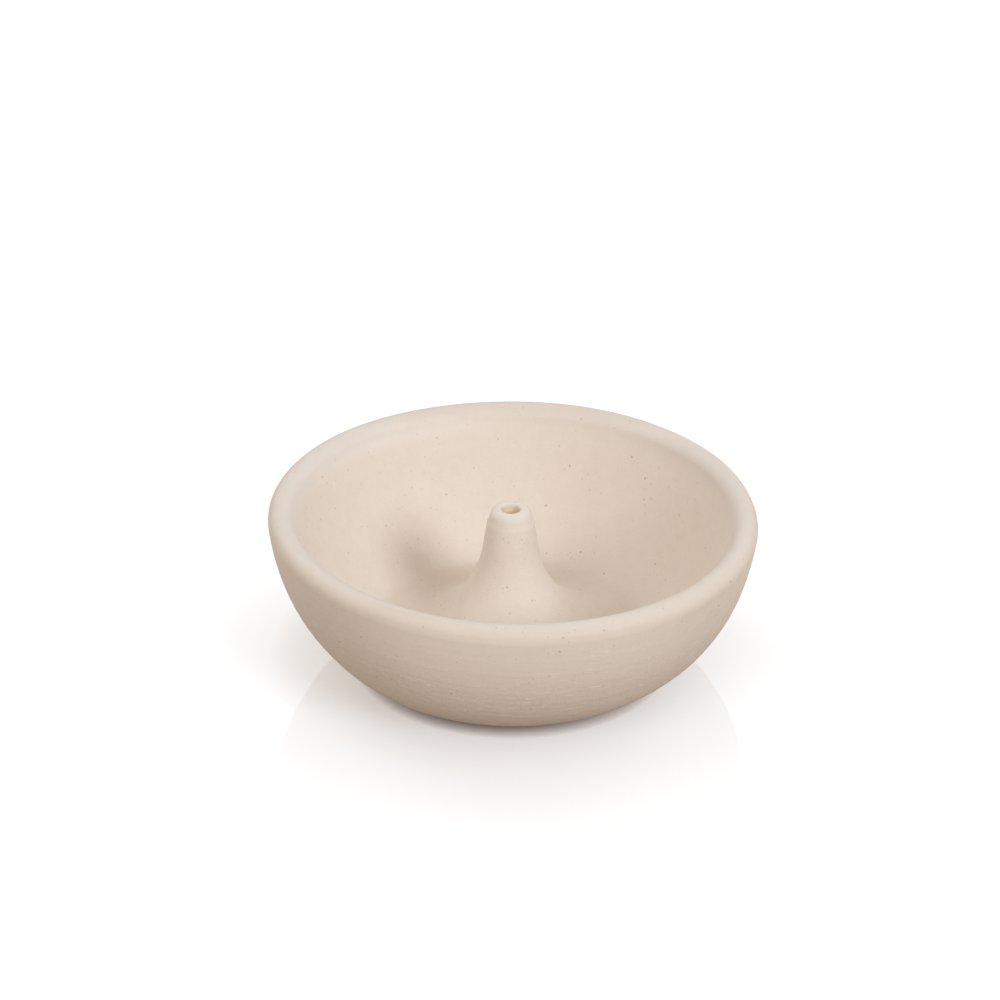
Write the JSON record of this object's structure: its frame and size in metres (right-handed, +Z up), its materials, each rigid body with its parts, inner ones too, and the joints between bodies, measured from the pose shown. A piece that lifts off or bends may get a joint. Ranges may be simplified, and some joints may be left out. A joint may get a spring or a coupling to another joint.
{
  "type": "incense stick holder",
  "caption": "Round stoneware bowl with a tapered post in its middle: a blind hole in the post's tip holds an incense stick upright and the bowl catches its ash.",
  "frame": {"origin": "centre of the flat foot, on the surface that the bowl stands on", "axes": "+Z up along the bowl's turning axis and the stick hole; X and Y are any two level directions"},
  "size_m": [0.1, 0.1, 0.0347],
  "materials": {
    "stoneware": "matt unglazed stoneware, warm oatmeal, with fine dark iron specks",
    "fired_slip": "matt fired slip, hidden in the joint"
  },
  "bodies": {
    "root": {"bowl": "stoneware", "stick_post": "stoneware", "fillet_coil": "stoneware", "luting_slip": "fired_slip"}
  },
  "joints": []
}
